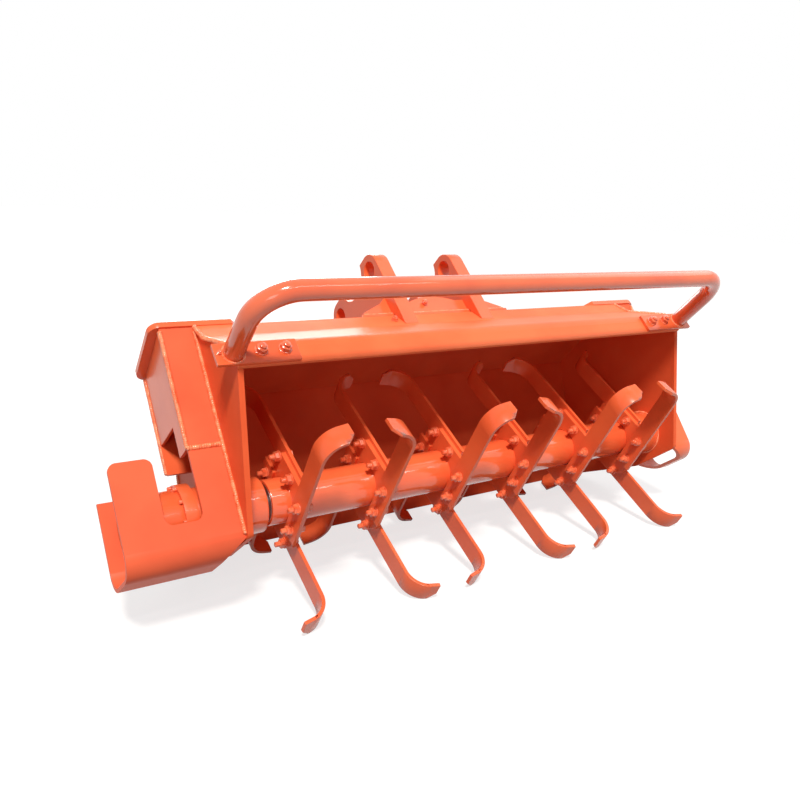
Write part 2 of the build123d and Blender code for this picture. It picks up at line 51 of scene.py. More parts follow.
# Width of a chamfered rim over its height
CHAMFER_RUN = 1.4
SMOOTH_ANGLE = radians(40.0)
WHITE = (1.0, 1.0, 1.0, 1.0)
Triple = tuple[float, float, float]


class Body(Enum):
    """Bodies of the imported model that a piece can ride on."""

    HOUSING = "housing"
    ROTOR = "rotor"


class Slot(Enum):
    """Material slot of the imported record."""

    PAINT = "orange_paint"


class Pick(Enum):
    """Faces of a piece to select."""

    ALL = "all"
    TOP = "top"


@dataclass(frozen=True)
class Attitude:
    """Where the rotor's axis stands and how far the machine is pitched back on the floor."""

    tilt: float = radians(38.0)
    axis: Vector = field(default_factory=lambda: Vector(ROTOR_JOINT["pos_m"]))

    def at(self, along: float, back: float, up: float) -> Vector:
        """A point given as the machine works.

        Args:
            along: Millimetres along the rotor from its middle.
            back: Millimetres back from the rotor's axis.
            up: Millimetres up from the rotor's axis.

        Returns:
            The point in the row frame, in metres.
        """
        return self.axis + Vector((along * MM, *self._turned(back * MM, up * MM)))

    def way(self, along: float, back: float, up: float) -> Vector:
        """A direction given as the machine works.

        Args:
            along: Share of the direction along the rotor.
            back: Share of it towards the back.
            up: Share of it upwards.

        Returns:
            The unit direction in the row frame.
        """
        return Vector((along, *self._turned(back, up))).normalized()

    def _turned(self, back: float, up: float) -> tuple[float, float]:
        """Turn a step given as the machine works.

        Args:
            back: The step towards the back.
            up: The step upwards.

        Returns:
            Its Y and Z in the row frame.
        """
        return back * cos(self.tilt) + up * sin(self.tilt), up * cos(self.tilt) - back * sin(self.tilt)


def new_material(name: str) -> tuple[bpy.types.Material, bpy.types.Node]:
    """Start a material.

    Args:
        name: Name of the material.

    Returns:
        The material and its shader node.
    """
    material = bpy.data.materials.new(name)
    material.use_nodes = True
    return material, material.node_tree.nodes["Principled BSDF"]


@dataclass(frozen=True)
class Paint:
    """Orange enamel over plate steel, a little uneven in colour and with a fine orange-peel skin."""

    name: str = "orange_gloss"
    colour: Triple = (0.88, 0.152, 0.050)
    shade: Triple = (0.80, 0.118, 0.038)
    roughness: float = 0.27
    specular: float = 0.34
    coat: float = 0.12
    coat_roughness: float = 0.06
    patch_scale: float = 6.0
    patch_detail: float = 3.0
    # Noise at which the shade ends and at which the full colour starts
    patch_edges: tuple[float, float] = (0.35, 0.60)
    grain_scale: float = 260.0
    grain_strength: float = 0.06
    grain_height: float = 0.001

    def make(self) -> bpy.types.Material:
        """Build the material.

        Returns:
            The finished material.
        """
        material, shader = new_material(self.name)
        tree = material.node_tree
        shader.inputs["Roughness"].default_value = self.roughness
        shader.inputs["Specular IOR Level"].default_value = self.specular
        shader.inputs["Coat Weight"].default_value = self.coat
        shader.inputs["Coat Roughness"].default_value = self.coat_roughness
        place = tree.nodes.new("ShaderNodeTexCoord")
        tree.links.new(self._patches(tree, place), shader.inputs["Base Color"])
        tree.links.new(self._skin(tree, place), shader.inputs["Normal"])
        return material

    def _patches(self, tree: bpy.types.NodeTree, place: bpy.types.Node) -> bpy.types.NodeSocket:
        """The enamel's colour, thicker and thinner in soft patches.

        Args:
            tree: Node tree to add the nodes to.
            place: Its texture coordinate node.

        Returns:
            The colour socket.
        """
        patches = tree.nodes.new("ShaderNodeTexNoise")
        patches.inputs["Scale"].default_value = self.patch_scale
        patches.inputs["Detail"].default_value = self.patch_detail
        ramp = tree.nodes.new("ShaderNodeValToRGB")
        colours = (self.shade, self.colour)
        for stop, edge, colour in zip(ramp.color_ramp.elements, self.patch_edges, colours):
            stop.position = edge
            stop.color = (*colour, 1.0)
        tree.links.new(place.outputs["Object"], patches.inputs["Vector"])
        tree.links.new(patches.outputs["Fac"], ramp.inputs["Fac"])
        return ramp.outputs["Color"]

    def _skin(self, tree: bpy.types.NodeTree, place: bpy.types.Node) -> bpy.types.NodeSocket:
        """The enamel's orange-peel skin.

        Args:
            tree: Node tree to add the nodes to.
            place: Its texture coordinate node.

        Returns:
            The normal socket.
        """
        grain = tree.nodes.new("ShaderNodeTexNoise")
        grain.inputs["Scale"].default_value = self.grain_scale
        bump = tree.nodes.new("ShaderNodeBump")
        bump.inputs["Strength"].default_value = self.grain_strength
        bump.inputs["Distance"].default_value = self.grain_height
        tree.links.new(place.outputs["Object"], grain.inputs["Vector"])
        tree.links.new(grain.outputs["Fac"], bump.inputs["Height"])
        return bump.outputs["Normal"]


@dataclass(frozen=True)
class SatinPaint(Paint):
    """The same enamel where it has dried with less gloss."""

    roughness: float = 0.42
    specular: float = 0.10
    coat: float = 0.0


@dataclass(frozen=True)
class TinePaint(Paint):
    """The same enamel on the tines, rubbed through to dull steel at their tips.

    The wear starts and ends at distances from the rotor's axis, in metres.
    """

    name: str = "orange_tines"
    bare: Triple = (0.24, 0.19, 0.17)
    wear_start: float = 0.2845
    wear_end: float = 0.2895
    wear_scale: float = 60.0
    wear_spread: float = 0.008

    def make(self) -> bpy.types.Material:
        """Build the material.

        Returns:
            The finished material.
        """
        material = super().make()
        tree = material.node_tree
        shader = tree.nodes["Principled BSDF"]
        colour = shader.inputs["Base Color"].links[0].from_socket
        worn = self._worn(tree)
        mix = tree.nodes.new("ShaderNodeMix")
        mix.data_type = "RGBA"
        tree.links.new(worn, mix.inputs["Factor"])
        tree.links.new(colour, mix.inputs["A"])
        mix.inputs["B"].default_value = (*self.bare, 1.0)
        tree.links.new(mix.outputs["Result"], shader.inputs["Base Color"])
        tree.links.new(worn, shader.inputs["Metallic"])
        return material

    def _worn(self, tree: bpy.types.NodeTree) -> bpy.types.NodeSocket:
        """Nought on sound enamel and one on bare steel, by the distance from the rotor's axis.

        Args:
            tree: Node tree to add the nodes to.

        Returns:
            The socket that carries the number.
        """
        place = tree.nodes.new("ShaderNodeTexCoord")
        centred = tree.nodes.new("ShaderNodeMapping")
        centred.inputs["Location"].default_value = (0.0, *(-Attitude().axis.yz))
        centred.inputs["Scale"].default_value = (0.0, 1.0, 1.0)
        reach = tree.nodes.new("ShaderNodeVectorMath")
        reach.operation = "LENGTH"
        scuffs = tree.nodes.new("ShaderNodeTexNoise")
        scuffs.inputs["Scale"].default_value = self.wear_scale
        uneven = tree.nodes.new("ShaderNodeMath")
        uneven.operation = "MULTIPLY_ADD"
        uneven.inputs[1].default_value = self.wear_spread
        worn = tree.nodes.new("ShaderNodeMapRange")
        worn.inputs["From Min"].default_value = self.wear_start + self.wear_spread / 2
        worn.inputs["From Max"].default_value = self.wear_end + self.wear_spread / 2
        tree.links.new(place.outputs["Object"], centred.inputs["Vector"])
        tree.links.new(place.outputs["Object"], scuffs.inputs["Vector"])
        tree.links.new(centred.outputs["Vector"], reach.inputs[0])
        tree.links.new(scuffs.outputs["Fac"], uneven.inputs[0])
        tree.links.new(reach.outputs["Value"], uneven.inputs[2])
        tree.links.new(uneven.outputs[0], worn.inputs["Value"])
        return worn.outputs["Result"]


@dataclass(frozen=True)
class Steel:
    """Turned steel of the shafts."""

    name: str = "turned_steel"
    colour: Triple = (0.52, 0.52, 0.53)
    roughness: float = 0.34

    def make(self) -> bpy.types.Material:
        """Build the material.

        Returns:
            The finished material.
        """
        material, shader = new_material(self.name)
        shader.inputs["Base Color"].default_value = (*self.colour, 1.0)
        shader.inputs["Metallic"].default_value = 1.0
        shader.inputs["Roughness"].default_value = self.roughness
        return material


class Finish(Enum):
    """Finishes of the machine's pieces. Some are lighter and darker copies of the gloss that paint sheen,
    shade and highlights.
    """

    GLOSS = Paint()
    # Painted sheen: the front panel's copy of the gloss is lighter, standing in for the bright reflection
    # on its lip.
    FRONT = SatinPaint(name="orange_front_painted_sheen", colour=(0.92, 0.198, 0.072), shade=(0.86, 0.158, 0.055),
                       specular=0.14)
    # Painted shade: the lining's copy of the gloss is darker and redder, standing in for the shade inside
    # the hood.
    LINING_PAINTED_SHADE = SatinPaint(name="orange_lining_painted_shade", colour=(0.82, 0.125, 0.042), shade=(0.76, 0.104, 0.034))
    # Painted shade: the copy of the gloss on the motor guard and the column front is darker, standing in
    # for shade on them.
    GUARD_PAINTED_SHADE = SatinPaint(name="orange_guard_painted_shade", colour=(0.82, 0.137, 0.060), shade=(0.77, 0.114, 0.050))
    # Painted highlight: the beads' copy of the gloss is paler, standing in for glints on their ripples.
    BEAD_PAINTED_HIGHLIGHT = Paint(name="orange_bead_painted_highlight", colour=(0.94, 0.300, 0.140), shade=(0.86, 0.160, 0.055),
                 roughness=0.22, specular=0.5, coat=0.2, patch_scale=60.0)
    # Partly thin paint over zinc, partly painted highlight: the bolts' copy of the gloss is paler.
    BOLT_ZINC_AND_PAINTED_HIGHLIGHT = Paint(name="orange_bolt_zinc_and_painted_highlight", colour=(0.90, 0.200, 0.090), shade=(0.78, 0.110, 0.038),
                 roughness=0.18, specular=0.6, coat=0.3, patch_scale=90.0)
    TUBE = Paint(name="orange_tube", roughness=0.15, specular=0.5, coat=0.5)
    TINES = TinePaint()
    STEEL = Steel()


# Nodes whose finish isn't the outside gloss, by the start of their names. The front panel's finish paints
# sheen, the lining's and the guard's paint shade.
NODE_FINISHES: dict[str, Finish] = {
    "hood_front_panel": Finish.FRONT,
    "hood_rear_panel": Finish.LINING_PAINTED_SHADE,
    "hood_top_panel": Finish.LINING_PAINTED_SHADE,
    "side_plate": Finish.LINING_PAINTED_SHADE,
    "motor_guard": Finish.GUARD_PAINTED_SHADE,
    "column_front": Finish.GUARD_PAINTED_SHADE,
    "rotor_tube": Finish.TUBE,
    "bearing_hub": Finish.TUBE,
    "push_bar": Finish.TUBE,
    "tine_ring": Finish.TINES,
    "rotor_shaft": Finish.STEEL,
}


def dress_nodes(materials: dict[Finish, bpy.types.Material]) -> None:
    """Give each CAD node its finish.

    Args:
        materials: Material of each finish.
    """
    for name, node in frame["nodes"].items():
        fitting = (finish for start, finish in NODE_FINISHES.items() if name.startswith(start))
        material = materials[next(fitting, Finish.GLOSS)]
        for place in node.material_slots:
            place.material = material


def select_only(*pieces: bpy.types.Object) -> None:
    """Select some pieces and nothing else, and make the first one active.

    Args:
        pieces: The pieces to select.
    """
    bpy.ops.object.select_all(action="DESELECT")
    for piece in pieces:
        piece.select_set(True)
    bpy.context.view_layer.objects.active = pieces[0]


def pick_faces(piece: bpy.types.Object, pick: Pick) -> None:
    """Go into edit mode with only some faces of a piece selected.

    Args:
        piece: The piece to edit, which becomes the active one.
        pick: Which of its faces to select.
    """
    select_only(piece)
    bpy.context.tool_settings.mesh_select_mode = (False, False, True)
    for element in (*piece.data.vertices, *piece.data.edges):
        element.select = False
    for face in piece.data.polygons:
        face.select = pick is Pick.ALL or face.normal.z > ALIGNED
    bpy.ops.object.mode_set(mode="EDIT")


def turned_prism(sides: int, radius: float, low: float, high: float, chamfer: float) -> bpy.types.Object:
    """Model an upright prism or cylinder whose upper rim is chamfered.

    Args:
        sides: Number of its sides.
        radius: Radius to its corners, in metres.
        low: Height of its foot.
        high: Height of its top.
        chamfer: Height of the chamfered rim.

    Returns:
        The new object, at the origin.
    """
    bpy.ops.mesh.primitive_cylinder_add(vertices=sides, radius=radius, depth=high - chamfer - low,
                                        location=(0.0, 0.0, (low + high - chamfer) / 2))
    piece = bpy.context.object
    bpy.ops.object.transform_apply(location=True, rotation=True, scale=True)
    pick_faces(piece, Pick.TOP)
    bpy.ops.mesh.inset(thickness=chamfer * CHAMFER_RUN, depth=chamfer)
    bpy.ops.object.mode_set(mode="OBJECT")
    return piece


def joined(parts: list[bpy.types.Object], name: str) -> bpy.types.Object:
    """Join several objects into one.

    Args:
        parts: The objects to join.
        name: Name of the joined object.

    Returns:
        The joined object.
    """
    select_only(*parts)
    bpy.ops.object.join()
    piece = bpy.context.view_layer.objects.active
    piece.name = name
    piece.data.name = name
    return piece


def copy_to(piece: bpy.types.Object, place: Matrix) -> bpy.types.Object:
    """Copy a piece, with a mesh of its own that holds its place.

    Args:
        piece: The piece to copy.
        place: Where the copy goes.

    Returns:
        The copy, whose object stays at the origin.
    """
    twin = bpy.data.objects.new(piece.name, piece.data.copy())
    twin.data.transform(place)
    bpy.context.scene.collection.objects.link(twin)
    return twin


def seat(point: Vector, outward: Vector, across: Vector) -> Matrix:
    """Place on a surface, with Z out of it.

    Args:
        point: Where the place's origin lies.
        outward: Direction of Z.
        across: Direction that X is nearest to.

    Returns:
        The place as a matrix.
    """
    side = (across - outward * across.dot(outward)).normalized()
    turn = Matrix((side, outward.cross(side), outward)).transposed()
    return Matrix.Translation(point) @ turn.to_4x4()


def up_unless_along(way: Vector, spare: Vector) -> Vector:
    """The upward direction, or a spare one where a way runs upwards itself.

    Args:
        way: The way that the direction is to stand off from.
        spare: Direction to take in place of the upward one.

    Returns:
        The direction.
    """
    return UP if abs(way.z) < ALIGNED else spare


def fit_piece(piece: bpy.types.Object, body: Body, material: bpy.types.Material) -> None:
    """Finish a piece and put it on its body.

    Args:
        piece: The finished piece.
        body: Body that it moves with.
        material: Its finish.
    """
    select_only(piece)
    bpy.ops.object.shade_smooth_by_angle(angle=SMOOTH_ANGLE)
    piece.data.materials.clear()
    piece.data.materials.append(material)
    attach(piece, body.value)
    LOG.info("%s: %d faces on the %s", piece.name, len(piece.data.polygons), body.value)


@dataclass(frozen=True)
class HexBolt:
    """A hexagon bolt, with washer, hexagon and point at each end that shows.

    Sizes are in millimetres. A grip of nought gives a bolt whose far end doesn't show.
    """

    across_flats: float = 24.0
    hexagon: float = 10.0
    hexagon_chamfer: float = 1.2
    washer_radius: float = 15.5
    washer: float = 3.0
    washer_chamfer: float = 0.6
    washer_sides: int = 24
    thread_radius: float = 8.0
    thread_chamfer: float = 1.3
    thread_sides: int = 16
    point: float = 4.0
    grip: float = 0.0
    far_point: float = 7.0

    def model(self) -> bpy.types.Object:
        """Model the bolt with its seat at the origin and its near end along Z.

        Returns:
            The bolt as one object.
        """
        parts = self._end(self.point)
        if self.grip:
            far_end = joined(self._end(self.far_point), "far_end")
            over = Matrix.Rotation(tau / 2, 4, "X")
            far_end.data.transform(Matrix.Translation((0.0, 0.0, -self.grip * MM)) @ over)
            parts.append(far_end)
        return joined(parts, "bolt")

    def _end(self, point: float) -> list[bpy.types.Object]:
        """One end of the bolt: washer, hexagon and the point that stands out of it.

        Args:
            point: How far the point stands out of the hexagon, in millimetres.

        Returns:
            The three objects.
        """
        top = self.washer + self.hexagon
        corner = self.across_flats / sqrt(3.0)
        return [
            turned_prism(self.washer_sides, self.washer_radius * MM, 0.0, self.washer * MM,
                         self.washer_chamfer * MM),
            turned_prism(HEXAGON, corner * MM, self.washer * MM, top * MM, self.hexagon_chamfer * MM),
            turned_prism(self.thread_sides, self.thread_radius * MM, top * MM, (top + point) * MM,
                         self.thread_chamfer * MM),
        ]


@dataclass
class TineBolts:
    """Bolts that hold the tines to their flanges: two to a tine, four tines to a ring, six rings."""

    attitude: Attitude
    ring_count: int = 6
    ring_pitch: float = 210.0
    flange: float = 10.0
    tine: float = 8.0
    middle_line: float = 75.5
    places: tuple[float, ...] = (-8.0, 60.0)
    back_row: float = radians(-61.503)
    # Each row: quarter turns from the back row, face of the flange that the tine lies on
    rows: tuple[tuple[int, int], ...] = ((0, -1), (1, 1), (2, -1), (3, 1))

    def build(self, material: bpy.types.Material) -> None:
        """Model one ring's bolts and copy them to the others.

        Args:
            material: Finish of the bolts.
        """
        bolt = HexBolt(across_flats=19.0, washer_radius=12.5, washer=2.5, thread_radius=6.0, point=11.0,
                       grip=self.flange + self.tine, far_point=1.5).model()
        first = [copy_to(bolt, self._place(quarter, face, along)) for quarter, face in self.rows
                 for along in self.places]
        ring = joined(first, "tine_bolts")
        for number in range(self.ring_count):
            shift = (number - (self.ring_count - 1) / 2) * self.ring_pitch * MM
            piece = copy_to(ring, Matrix.Translation((shift, 0.0, 0.0)))
            piece.name = piece.data.name = f"tine_bolts_{number + 1}"
            fit_piece(piece, Body.ROTOR, material)
        bpy.data.objects.remove(ring)
        bpy.data.objects.remove(bolt)

    def _place(self, quarter: int, face: int, along: float) -> Matrix:
        """Where one bolt of the middle ring sits.

        Args:
            quarter: Quarter turns of its row from the back row.
            face: Side of the flange that the tine lies on.
            along: Millimetres along the tine from abreast of the axis.

        Returns:
            Its place, with the nut and thread towards the motor's end.
        """
        angle = self.back_row + quarter * tau / 4
        shank = Vector((0.0, cos(angle), sin(angle)))
        edge = Vector((0.0, -sin(angle), cos(angle)))
        proud = self.flange / 2 + (self.tine if face < 0 else 0.0)
        middle = self.attitude.axis + (shank * along + edge * self.middle_line) * MM
        return seat(middle - ALONG * proud * MM, -ALONG, shank)


@dataclass(frozen=True)
class BarPlateFace:
    """Outer face of the push bar's plates, which lie on the hood's lip."""

    attitude: Attitude
    # Middle of the lip's outer face, back and up from the axis, and the way it faces
    lip_middle: tuple[float, float] = (-249.2, 235.1)
    lip_way: tuple[float, float] = (-0.9874, 0.158)
    plate: float = 8.0

    def outward(self) -> Vector:
        """The way the face looks.

        Returns:
            The unit direction.
        """
        return self.attitude.way(0.0, *self.lip_way)

    def rise(self) -> Vector:
        """The way up the face.

        Returns:
            The unit direction.
        """
        return self.attitude.way(0.0, self.lip_way[1], -self.lip_way[0])

    def at(self, along: float, lift: float = 0.0) -> Vector:
        """A point of the face.

        Args:
            along: Millimetres along the rotor from its middle.
            lift: Millimetres up the face from its middle.

        Returns:
            The point in the row frame, in metres.
        """
        step = (self.outward() * self.plate + self.rise() * lift) * MM
        return self.attitude.at(along, *self.lip_middle) + step


@dataclass
class BarPlateBolts:
    """Bolts of the push bar's plates: two large ones inboard of each leg and a small one outboard."""

    face: BarPlateFace
    lift: float = 3.0
    # Each bolt: distance from the middle of the machine, share of the full size, turn in degrees
    places: tuple[Triple, ...] = ((604.0, 1.0, 17.0), (553.0, 1.0, 42.0), (690.0, 0.42, 67.0))

    def build(self, material: bpy.types.Material) -> None:
        """Model one bolt and copy it over both plates.

        Args:
            material: Finish of the bolts.
        """
        bolt = HexBolt(across_flats=21.0, washer_radius=14.0, thread_radius=7.0, point=6.0).model()
        for name, sign in ENDS:
            bolts = []
            for along, share, degrees in self.places:
                place = seat(self.face.at(sign * along, self.lift), self.face.outward(), self.face.rise())
                turn = Matrix.Rotation(radians(degrees), 4, "Z")
                bolts.append(copy_to(bolt, place @ turn @ Matrix.Scale(share, 4)))
            fit_piece(joined(bolts, f"bar_plate_bolts_{name}"), Body.HOUSING, material)
        bpy.data.objects.remove(bolt)


@dataclass
class MotorScrews:
    """Cap screws round the motor's flange. Sizes are in millimetres."""

    attitude: Attitude
    face: float = -761.0
    circle: float = 64.4
    count: int = 10
    sides: int = 16
    radius: float = 4.2
    height: float = 6.0
    chamfer: float = 0.8
    socket_rim: float = 0.8
    socket_taper: float = 0.2
    socket_depth: float = 3.0

    def build(self, material: bpy.types.Material) -> None:
        """Model one socket screw and copy it round the flange.

        Args:
            material: Finish of the screws.
        """
        screw = turned_prism(self.sides, self.radius * MM, 0.0, self.height * MM, self.chamfer * MM)
        pick_faces(screw, Pick.TOP)
        bpy.ops.mesh.inset(thickness=self.socket_rim * MM)
        bpy.ops.mesh.inset(thickness=self.socket_taper * MM, depth=-self.socket_depth * MM)
        bpy.ops.object.mode_set(mode="OBJECT")
        screws = []
        for number in range(self.count):
            angle = tau * (number + 0.5) / self.count
            spoke = Vector((0.0, cos(angle), sin(angle)))
            middle = self.attitude.at(self.face, 0.0, 0.0) + spoke * self.circle * MM
            screws.append(copy_to(screw, seat(middle, -ALONG, spoke)))
        bpy.data.objects.remove(screw)
        fit_piece(joined(screws, "motor_flange_screws"), Body.HOUSING, material)


class Stud(NamedTuple):
    """One stud: its place in millimetres from the axis, the way it faces and its share of full size."""

    along: float
    back: float
    up: float
    facing_back: float
    facing_up: float
    share: float


@dataclass
class HitchStuds:
    """Small studs by the hitch: one at the left ear's toe and one on the front wall."""

    attitude: Attitude
    point: float = 7.0
    studs: tuple[Stud, ...] = (
        Stud(-160.0, -99.6, 369.2, -0.791, 0.611, 0.55),
        Stud(-30.0, -72.0, 430.0, -1.0, 0.0, 0.50),
    )

    def build(self, material: bpy.types.Material) -> None:
        """Model one stud and copy it to its places.

        Args:
            material: Finish of the studs.
        """
        bolt = HexBolt(point=self.point).model()
        placed = []
        for stud in self.studs:
            outward = self.attitude.way(0.0, stud.facing_back, stud.facing_up)
            place = seat(self.attitude.at(stud.along, stud.back, stud.up), outward, ALONG)
            placed.append(copy_to(bolt, place @ Matrix.Scale(stud.share, 4)))
        bpy.data.objects.remove(bolt)
        fit_piece(joined(placed, "hitch_studs"), Body.HOUSING, material)


@dataclass(frozen=True)
class Bead:
    """Rippled weld bead. Sizes are in millimetres."""

    radius: float = 5.5
    pitch: float = 4.6
    stretch: float = 0.8
    ragged: float = 0.55
    segments: int = 8
    rings: int = 5

    def run(self, start: Vector, end: Vector, seed: int) -> bpy.types.Object:
        """Model a straight bead.

        Args:
            start: Where it starts, in metres.
            end: Where it ends, in metres.
            seed: Seed of its raggedness.

        Returns:
            The bead.
        """
        length = (end - start).length
        count = max(2, round(length / (self.pitch * MM)))
        piece = self._ripple()
        row = piece.modifiers.new("row", "ARRAY")
        row.count = count
        row.use_relative_offset = False
        row.use_constant_offset = True
        row.constant_offset_displace = (length / (count - 1), 0.0, 0.0)
        bpy.ops.object.modifier_apply(modifier=row.name)
        self._roughen(piece, seed)
        way = (end - start).normalized()
        across = up_unless_along(way, Vector((0.0, 1.0, 0.0)))
        outward = (across - way * across.dot(way)).normalized()
        piece.data.transform(seat(start, outward, way))
        return piece

    def ring(self, middle: Vector, axis: Vector, radius: float, seed: int) -> bpy.types.Object:
        """Model a round bead.

        Args:
            middle: Middle of the ring, in metres.
            axis: Direction square to the ring.
            radius: Radius of the ring, in millimetres.
            seed: Seed of its raggedness.

        Returns:
            The bead.
        """
        count = round(tau * radius / self.pitch)
        piece = self._ripple()
        piece.data.transform(Matrix.Translation((0.0, radius * MM, 0.0)))
        pick_faces(piece, Pick.ALL)
        bpy.ops.mesh.spin(steps=count - 1, dupli=True, angle=tau * (count - 1) / count,
                          center=(0.0, 0.0, 0.0), axis=(0.0, 0.0, 1.0))
        bpy.ops.object.mode_set(mode="OBJECT")
        self._roughen(piece, seed)
        piece.data.transform(seat(middle, axis, up_unless_along(axis, ALONG)))
        return piece

    def _ripple(self) -> bpy.types.Object:
        """One ripple of the bead, drawn out along X.

        Returns:
            The ripple, at the origin.
        """
        bpy.ops.mesh.primitive_uv_sphere_add(segments=self.segments, ring_count=self.rings,
                                             radius=self.radius * MM)
        piece = bpy.context.object
        pick_faces(piece, Pick.ALL)
        bpy.ops.transform.resize(value=(self.stretch, 1.0, 1.0))
        bpy.ops.object.mode_set(mode="OBJECT")
        return piece

    def _roughen(self, piece: bpy.types.Object, seed: int) -> None:
        """Make a bead ragged.

        Args:
            piece: The bead.
            seed: Seed of its raggedness.
        """
        pick_faces(piece, Pick.ALL)
        bpy.ops.transform.vertex_random(offset=self.ragged * MM, seed=seed)
        bpy.ops.object.mode_set(mode="OBJECT")


class Run(NamedTuple):
    """One straight run of bead, given in millimetres from the axis as the machine works."""

    start_along: float
    end_along: float
    start_back: float
    start_up: float
    end_back: float
    end_up: float


@dataclass
class WeldSeams:
    """Weld beads of the housing: runs at its ends and on the hitch, rings round hubs and bar legs."""

    attitude: Attitude
    face: BarPlateFace
    bead: Bead = Bead()
    fine: Bead = Bead(radius=3.2, pitch=3.2, ragged=0.4)
    end_runs: tuple[Run, ...] = (
        Run(732.5, 732.5, -78.0, 122.0, -78.0, 380.0),
        Run(658.5, 658.5, -80.0, -70.0, -80.0, 380.0),
        Run(660.0, 730.0, -79.0, 120.0, -79.0, 120.0),
        Run(658.5, 658.5, -84.0, 386.0, -118.0, 343.0),
        Run(658.5, 658.5, -118.0, 343.0, -228.0, 272.0),
        Run(657.0, 657.0, 203.0, 336.0, 325.0, -4.0),
        Run(732.5, 732.5, 95.0, 126.0, 95.0, 350.0),
        Run(658.5, 658.5, 97.0, 126.0, 97.0, 350.0),
    )
    hitch_runs: tuple[Run, ...] = (
        Run(-101.0, 101.0, -72.0, 401.0, -72.0, 401.0),
        Run(100.0, 100.0, -58.0, 398.5, 150.0, 359.0),
        Run(-100.0, -100.0, -58.0, 398.5, 150.0, 359.0),
        Run(142.0, 142.0, -56.0, 398.0, 176.0, 354.0),
        Run(-142.0, -142.0, -56.0, 398.0, 176.0, 354.0),
        Run(142.0, 222.0, -72.0, 401.0, -72.0, 401.0),
        Run(-142.0, -222.0, -72.0, 401.0, -72.0, 401.0),
    )
    hub_radius: float = 61.0
    hub_face: float = 645.0
    hub_seed: int = 31
    leg_radius: float = 22.0
    leg_place: float = 662.0
    leg_seed: int = 32
    hitch_seed: int = 40

    def build(self, material: bpy.types.Material) -> None:
        """Model the beads of each end and of the hitch.

        Args:
            material: Finish of the beads.
        """
        for name, sign in ENDS:
            beads = [self._run(self.bead, run, sign, number) for number, run in enumerate(self.end_runs)]
            hub = self.attitude.at(sign * self.hub_face, 0.0, 0.0)
            beads.append(self.fine.ring(hub, ALONG, self.hub_radius, self.hub_seed))
            leg = self.face.at(sign * self.leg_place)
            beads.append(self.fine.ring(leg, self.face.outward(), self.leg_radius, self.leg_seed))
            fit_piece(joined(beads, f"weld_seams_{name}"), Body.HOUSING, material)
        beads = [self._run(self.fine, run, 1.0, self.hitch_seed + number)
                 for number, run in enumerate(self.hitch_runs)]
        fit_piece(joined(beads, "weld_seams_hitch"), Body.HOUSING, material)

    def _run(self, bead: Bead, run: Run, sign: float, seed: int) -> bpy.types.Object:
        """Model one run of bead.

        Args:
            bead: Kind of bead.
            run: Where it goes.
            sign: End of the machine, or one for a run of the hitch.
            seed: Seed of its raggedness.

        Returns:
            The bead.
        """
        return bead.run(self.attitude.at(sign * run.start_along, run.start_back, run.start_up),
                        self.attitude.at(sign * run.end_along, run.end_back, run.end_up), seed)


@dataclass(frozen=True)
class SoftEdges:
    """Rounding of the cut plates' edges. Lengths are in millimetres."""

    merge: float = 0.01
    width: float = 1.3
    segments: int = 2
    sharp: float = radians(32.0)

    def apply(self) -> None:
        """Round the edges of every CAD node with live modifiers."""
        for node in frame["nodes"].values():
            weld = node.modifiers.new("weld", "WELD")
            weld.merge_threshold = self.merge * MM
            bevel = node.modifiers.new("soft_edges", "BEVEL")
            bevel.width = self.width * MM
            bevel.segments = self.segments
            bevel.limit_method = "ANGLE"
            bevel.angle_limit = self.sharp


@dataclass(frozen=True)
class Camera:
    """The photograph's viewpoint: place in metres from the rotor's middle, and angles in degrees."""

    place: Triple = (-1.2126, -1.4369, 0.6614)
    heading: float = 34.27
    pitch: float = -15.08
    roll: float = 3.02
    lens: float = 35.02

    def add(self, attitude: Attitude) -> None:
        """Add the camera and make it the scene's own.

        Args:
            attitude: Where the rotor's axis stands.
        """
        heading, pitch, roll = radians(self.heading), radians(self.pitch), radians(self.roll)
        forward = Vector((sin(heading) * cos(pitch), cos(heading) * cos(pitch), sin(pitch)))
        right = forward.cross(UP).normalized()
        up = right.cross(forward)
        across = right * cos(roll) + up * sin(roll)
        above = up * cos(roll) - right * sin(roll)
        turn = Matrix((across, above, -forward)).transposed().to_4x4()
        data = bpy.data.cameras.new("camera")
        data.lens = self.lens
        camera = bpy.data.objects.new("camera", data)
        camera.matrix_world = Matrix.Translation(attitude.axis + Vector(self.place)) @ turn
        bpy.context.scene.collection.objects.link(camera)
        bpy.context.scene.camera = camera


class Lamp(NamedTuple):
    """One panel lamp: its name, place, width and height in metres, and power in watts."""

    name: str
    place: Triple
    width: float
    height: float
    power: float


